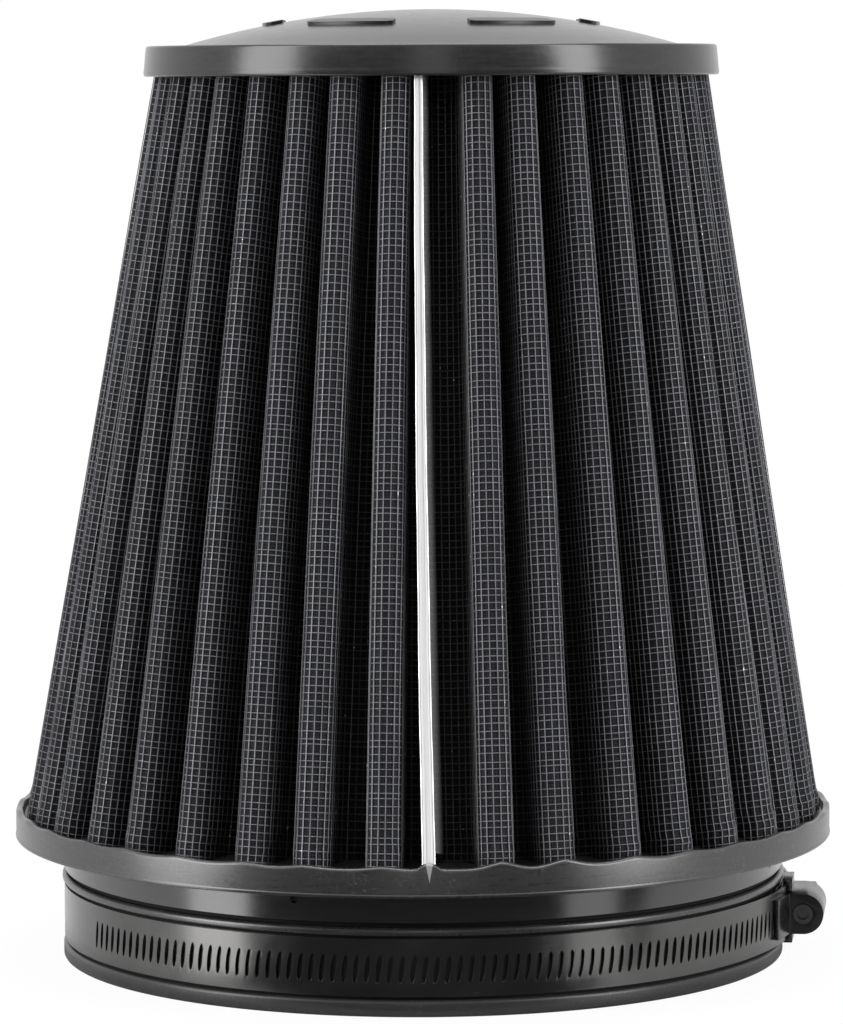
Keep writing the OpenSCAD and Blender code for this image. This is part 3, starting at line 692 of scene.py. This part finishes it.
def baseFinishAt(out, z):  # 0 base, 1 neck, 2 lip or 3 painted groove shade, by a face's radius and height
    up = z - base["recessTop"]
    if not (base["bore"] + 1 < out < base["neck"] + 4 and z < base["neckTop"] + 0.2):
        return 0
    if z > base["lipTop"] and up < base["beadHeight"] + 0.9:  # recess and groove, with the bead between
        if z > base["lipTop"] + base["shade"] and up < -base["shade"]:
            return 1
        # painted shade: the recess wall's strips beside the band's edges and the groove over the bead get the
        # near-black finish
        return 3 if out < base["recess"] + (0.1 if up < 0 else 0.3) else 0
    return 2 if z < base["lipTop"] else 1


for face in basePiece.data.polygons:
    middle = face.center / mm
    face.material_index = baseFinishAt(middle.xy.length, middle.z)
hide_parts("base_flange")
print("base made")

# the clamp band: a slotted strip along the same path as the frame's
band = {
    "inner": 83.38, "fixed": 84.36, "free": 85.14, "thick": 0.7, "width": 12.7, "middle": 10.8,
    "turn": -7, "tail": 24, "tailRound": 2.5, "barrel": 18, "liftAngle": 22, "fixedLift": 16,
    "slots": 98, "pitch": 2.5, "slot": 6.2, "slotWidth": 1.2, "drop": 0.3, "lean": 7, "margin": 1.5,
    "play": 0.02, "edge": 0.22,
}


def setBack(r0, r1, angle):  # how far behind the neck's axis the centre of a rise from r0 to r1 lies
    return (math.sqrt(r0 ** 2 + 2 * (r1 ** 2 - r0 ** 2) / (1 - math.cos(math.radians(angle)))) - r0) / 2


def risen(r0, r1, angle):  # the angle that the rise covers, seen from the axis
    return math.degrees(math.asin((r0 + setBack(r0, r1, angle)) * math.sin(math.radians(angle)) / r1))


half = math.degrees(math.asin(band["barrel"] / 2 / band["free"]))
fixedEnd = half + 2
liftBack = setBack(band["inner"], band["free"], band["liftAngle"])
fixedBack = setBack(band["inner"], band["fixed"], band["fixedLift"])
liftStart = -half - risen(band["inner"], band["free"], band["liftAngle"])
fixedStart = fixedEnd + risen(band["inner"], band["fixed"], band["fixedLift"])
tailAngle = half + math.degrees(band["tail"] / band["free"])
arcs = [  # the centre's distance and angle, the first and the last angle, the radius
    (0, 0, tailAngle, -half, band["free"]),
    (liftBack, liftStart, liftStart + band["liftAngle"], liftStart, band["inner"] + liftBack),
    (0, 0, liftStart, fixedStart - 360, band["inner"]),
    (fixedBack, fixedStart, fixedStart - 360, fixedStart - 360 - band["fixedLift"],
     band["inner"] + fixedBack),
    (0, 0, fixedEnd - 360, -360 + 0.5 - half, band["fixed"]),
]


def onBand(s, out, z):  # s millimetres from the tail's end
    for k, (back, at, a0, a1, r) in enumerate(arcs):
        length = math.radians(a0 - a1) * r
        if s <= length or k == len(arcs) - 1:
            a = math.radians(a0 - math.degrees(s / r))
            c = math.radians(at)
            x = -back * math.cos(c) + (r + out) * math.cos(a)
            y = -back * math.sin(c) + (r + out) * math.sin(a)
            t = math.radians(band["turn"])
            return (x * math.cos(t) - y * math.sin(t), x * math.sin(t) + y * math.cos(t), z)
        s -= length


bandLength = sum(math.radians(a0 - a1) * r for _, _, a0, a1, r in arcs)


def bandPiece():
    h, w, step = band["width"] / 2, band["slot"] / 2, band["pitch"]
    lean = math.tan(math.radians(band["lean"]))
    columns = [0.15] + [band["margin"] + (k + 0.5) * step for k in range(band["slots"])]
    while columns[-1] < bandLength - 3:
        columns.append(columns[-1] + step)
    columns.append(bandLength)
    flat, faces = [], []  # the strip laid flat: length and height
    for s in columns:
        end = band["tailRound"] * max(0, 1 - s / band["tailRound"]) ** 2 * 0.9
        flat.extend([(s, -h + end), (s, -h / 2), (s, 0), (s, h / 2), (s, h - end)])
    for k in range(len(columns) - 1):
        a, c = k * 5, k * 5 + 5
        if k >= band["slots"]:
            faces += [(a + j, a + j + 1, c + j + 1, c + j) for j in range(4)]
            continue
        start, r, s0 = len(flat), band["slotWidth"] / 2, band["margin"] + k * step
        for j in range(16):  # a pressed slot, widest in the middle
            t = math.radians(-258.75 + 22.5 * j)
            across, z = r * math.copysign(abs(math.cos(t)) ** 0.8, math.cos(t)), w * math.sin(t)
            flat.append((s0 + across - z * lean, z - band["drop"]))

        def bearing(n):  # from the slot's middle
            s, z = flat[n]
            return math.atan2((z + band["drop"]) / h, (s - s0 + z * lean) / (step / 2))
        # the strip's points round the slot and the slot's own, joined in order
        outer = sorted([a, a + 1, a + 2, a + 3, a + 4, c + 4, c + 3, c + 2, c + 1, c], key=bearing)
        slot = sorted(range(start, start + 16), key=bearing)
        i = j = 0
        while i < len(outer) or j < len(slot):
            nextOuter = bearing(outer[i]) if i < len(outer) else 9
            nextSlot = bearing(slot[j]) if j < len(slot) else 9
            o, n = outer[(i - 1) % len(outer)], slot[(j - 1) % len(slot)]
            if nextOuter <= nextSlot:
                faces.append((o, outer[i], n))
                i += 1
            else:
                faces.append((o, slot[j], n))
                j += 1
    points = [onBand(s, band["play"], band["middle"] + z) for s, z in flat]
    piece = fromPoints("clampBand", points, faces)
    # every face looks away from the neck before the strip gets its thickness
    only(piece)
    bpy.ops.object.mode_set(mode="EDIT")
    bpy.ops.mesh.select_all(action="SELECT")
    bpy.ops.mesh.normals_make_consistent(inside=False)
    bpy.ops.object.mode_set(mode="OBJECT")
    face = piece.data.polygons[-1]
    if face.normal.dot(Vector((face.center.x, face.center.y, 0))) < 0:
        piece.data.flip_normals()
    solid = piece.modifiers.new("sheet", "SOLIDIFY")
    solid.thickness, solid.offset = (band["thick"] - 2 * band["play"]) * mm, 1
    bevel = piece.modifiers.new("edges", "BEVEL")
    bevel.width, bevel.segments, bevel.angle_limit = band["edge"] * mm, 3, math.radians(50)
    applyAll(piece)
    return piece


bandMade = finishPiece(bandPiece(), bandSteel, smooth=75)
bandMade.modifiers.new("even", "WEIGHTED_NORMAL").keep_sharp = True
applyAll(bandMade)
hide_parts("clamp_band")
print("band made", len(bandMade.data.polygons))


# the clamp's small parts: the frame's shapes with their edges softened
def softened(node, name, width):
    piece = nodes[node].copy()
    piece.data = nodes[node].data.copy()
    piece.name = piece.data.name = name
    for key in list(piece.keys()):
        del piece[key]
    piece.parent = None
    piece.matrix_world = Matrix.Identity(4)
    scene.collection.objects.link(piece)
    only(piece)
    bpy.ops.object.mode_set(mode="EDIT")
    bpy.ops.mesh.select_all(action="SELECT")
    bpy.ops.mesh.remove_doubles(threshold=2e-6)
    bpy.ops.mesh.dissolve_limited(angle_limit=math.radians(1))
    bpy.ops.object.mode_set(mode="OBJECT")
    bevel = piece.modifiers.new("edges", "BEVEL")
    bevel.width, bevel.segments, bevel.angle_limit = width * mm, 2, math.radians(35)
    applyAll(piece)
    finishPiece(piece, housingSteel, smooth=30)
    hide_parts(node)
    return piece


clamp = {"housingEdge": 0.16, "saddleEdge": 0.1, "endFrom": 8.9}
housing = softened("clamp_housing", "clampHousing", clamp["housingEdge"])
axis, pin = Vector(frame["joints"][0]["axis"]), Vector(frame["joints"][0]["pos_m"])
housing.data.materials.append(housingShade)
for face in housing.data.polygons:  # painted shade on the two end walls
    off = face.center - pin
    isEnd = abs(face.normal.dot(axis)) > 0.99 and abs(off.dot(axis)) > clamp["endFrom"] * mm
    face.material_index = int(isEnd)
softened("clamp_saddle", "clampSaddle", clamp["saddleEdge"])
nodes["clamp_screw"].material_slots[0].material = screwSteel
print("clamp made")

# the seam clip: one folded strip with a shallow crease down its crown
clip = {
    "bottom": 33.9, "top": 206.5, "base": 3.0, "cap": 1.9, "corner": 0.35, "crease": 0.07, "depth": 7.9,
    "shoulder": 0.9, "sheet": 0.35, "levels": 48, "slant": 1.6, "flare": 1.9, "flareLeft": 0.15,
}


def clipPiece():
    points, faces, columns = [], [], 0
    for row in range(clip["levels"] + 1):
        s = row / clip["levels"]
        z = clip["bottom"] + (clip["top"] - clip["bottom"]) * s
        u = share(z)
        w = (clip["base"] + (clip["cap"] - clip["base"]) * u) / 2
        out, corner = tipRadius(z) - 0.03, clip["corner"]
        line = []
        for side in (-1, 1):
            flare = clip["flare"] * (1 - 0.5 * u) if side > 0 else clip["flareLeft"]
            rise = clip["depth"] - clip["shoulder"]
            half = [(w + flare * (1 - k / 3) ** 1.6, out - clip["depth"] + rise * k / 3) for k in range(3)]
            half.append((w, out - clip["shoulder"]))
            for k in range(5):
                t = math.radians(22.5 * k)
                half.append((w - corner + corner * math.cos(t), out - corner + corner * math.sin(t)))
            half.append((w * 0.3, out + 0.01))
            half = [(side * x, y) for x, y in half]
            line += half if side < 0 else half[::-1]
            if side < 0:
                line.append((0, out - clip["crease"]))
        columns = len(line)
        sway = 0.03 * math.sin(row * 0.45) + 0.02 * math.sin(row * 1.3)
        drop = clip["slant"] / 3 if row == 1 else 0
        for k, (x, y) in enumerate(line):
            points.append(turn(pleatAngle(0, u), y, x + sway, z - drop * max(0, k - columns + 4)))
    for row in range(clip["levels"]):
        for k in range(columns - (4 if row == 0 else 1)):  # the right side stops short of the rim
            a = row * columns + k
            faces.append((a, a + 1, a + columns + 1, a + columns))
    piece = fromPoints("seamClip", points, faces)
    uv = piece.data.uv_layers.new(name="path")
    for loop, spot in zip(piece.data.loops, uv.data):
        spot.uv = (loop.vertex_index % columns - columns // 2, loop.vertex_index // columns)
    if piece.data.polygons[columns // 2].normal.y > 0:
        piece.data.flip_normals()
    solid = piece.modifiers.new("sheet", "SOLIDIFY")
    solid.thickness, solid.offset = clip["sheet"] * mm, -1
    applyAll(piece)
    return piece


clipMade = finishPiece(clipPiece(), foldedAluminium(), smooth=40)
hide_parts("seam_clip")
print("clip made")

# floor, lights and camera
stage = {
    "floor": 3.0, "fill": 0.06,
    "shade": (88, 180), "shadeLift": 0.96, "gloss": (90, 125), "glossLift": 0.08,  # near the foot, in mm
    "card": (950, 520, 800, 110),  # half width, height, distance and half the gap, in mm
    # angles on the neck where each board starts and ends, the ways its edges run, strength
    "boards": [(-39, -28.5, -81, -58, 3.8), (22.5, 31, 47, 66, 1.5)],
    "boardFoot": 88, "boardReach": (25, 1000),
    # angle, distance, width, height, height of its middle, power
    "side": [(-67, 1.25, 0.56, 1.5, 0.34, 20), (58, 1.25, 0.42, 1.5, 0.34, 17)],
    "over": {"height": 1.3, "size": 1.1, "power": 17},
}
deselect()
bpy.ops.mesh.primitive_circle_add(vertices=64, radius=stage["floor"], fill_type="NGON", location=(0, 0, 0))
floor = bpy.context.object
floor.name = "floor"
g = Graph("floorWhite")
radius = g.place()[-1]
glossy = g.ray("Glossy")
shows = g.ray("Camera").math("MAXIMUM", g.ray("Transmission"))
lift = shows * g.span(radius, *stage["shade"], stage["shadeLift"], 1)
lift = lift + glossy * g.span(radius, *stage["gloss"], stage["glossLift"], 1)
white = g.node("ShaderNodeEmission", inputs={"Color": (1, 1, 1), "Strength": 1.0})
tone = g.mix(shows.math("MAXIMUM", glossy), (0.4, 0.4, 0.4), (0.86, 0.86, 0.86))
paper = g.node("ShaderNodeBsdfDiffuse", inputs={"Color": tone})
g.end(g.node("ShaderNodeMixShader", inputs=[lift, paper, white]))
floor.data.materials.append(g.owner)

world = scene.world or bpy.data.worlds.new("studio")
scene.world = world
g = Graph("studio", world)
shows = g.ray("Camera").math("MAXIMUM", g.ray("Glossy")).math("MAXIMUM", g.ray("Transmission"))
strength = shows * (1 - stage["fill"]) + stage["fill"]
g.end(g.node("ShaderNodeBackground", inputs={"Color": (1, 1, 1), "Strength": strength}))

# a black card in front, seen by reflections alone: on the floor, and upright with a gap in the middle
width, height, distance, gap = stage["card"]
outline = [(-150, -86, 1), (150, -86, 1), (width, -distance, 1), (-width, -distance, 1)]
for side in (-1, 1):
    outline += [(side * x, -distance, z) for x, z in ((gap, 1), (width, 1), (width, height), (gap, height))]
card = fromPoints("blackCard", outline, [(0, 1, 2, 3), (4, 5, 6, 7), (8, 9, 10, 11)])
g = Graph("cardBlack")
g.end(g.node("ShaderNodeBsdfDiffuse", inputs={"Color": (0.03, 0.03, 0.03)}))
card.data.materials.append(g.owner)
boards, foot = [card], stage["boardFoot"]
near, far = stage["boardReach"]
for k, (start, end, left, right, strength) in enumerate(stage["boards"]):  # bright ones on the floor
    spots = []
    for a, way, reach in ((start, left, near), (start, left, far), (end, right, far), (end, right, near)):
        a, way = math.radians(a), math.radians(way)
        x, y = foot * math.sin(a) + reach * math.sin(way), -foot * math.cos(a) - reach * math.cos(way)
        spots.append((x, y, 2))
    board = fromPoints(f"brightBoard{k + 1}", spots, [(0, 1, 2, 3)])
    g = Graph(f"boardWhite{k + 1}")
    g.end(g.node("ShaderNodeEmission", inputs={"Color": (1, 1, 1), "Strength": strength}))
    board.data.materials.append(g.owner)
    boards.append(board)
for board in boards:
    board.visible_camera = board.visible_diffuse = False
    board.visible_shadow = board.visible_transmission = False


def softbox(name, at, aim, width, height, power):
    light = bpy.data.lights.new(name, "AREA")
    light.shape, light.size, light.size_y, light.energy = "RECTANGLE", width, height, power
    lamp = bpy.data.objects.new(name, light)
    scene.collection.objects.link(lamp)
    lamp.location = at
    lamp.rotation_euler = (Vector(aim) - Vector(at)).to_track_quat("-Z", "Y").to_euler()


for k, (azimuth, away, width, height, up, power) in enumerate(stage["side"]):
    a = math.radians(azimuth)
    softbox(f"side{k + 1}", (away * math.sin(a), -away * math.cos(a), up), (0, 0, 0.11), width, height, power)
over = stage["over"]
softbox("over", (0, 0.1, over["height"]), (0, 0, 0.1), over["size"], over["size"], over["power"])

view = {
    "distance": 1.0857, "height": 0.204, "down": 5.335, "roll": -0.248,  # metres and degrees
    "sensor": 36, "pixels": 4672, "long": 1024,  # the focal length in pixels of the picture's long side
}
lens = bpy.data.cameras.new("camera")
lens.sensor_width = view["sensor"]
lens.lens = view["sensor"] * view["pixels"] / view["long"]
lens.clip_start, lens.clip_end = 0.05, 20
camera = bpy.data.objects.new("camera", lens)
scene.collection.objects.link(camera)
camera.matrix_world = (Matrix.Translation((0, -view["distance"], view["height"]))
                       @ Matrix.Rotation(math.radians(90 - view["down"]), 4, "X")
                       @ Matrix.Rotation(math.radians(view["roll"]), 4, "Z"))
scene.camera = camera
scene.view_settings.view_transform = "Standard"
print("stage made")

bpy.context.view_layer.update()
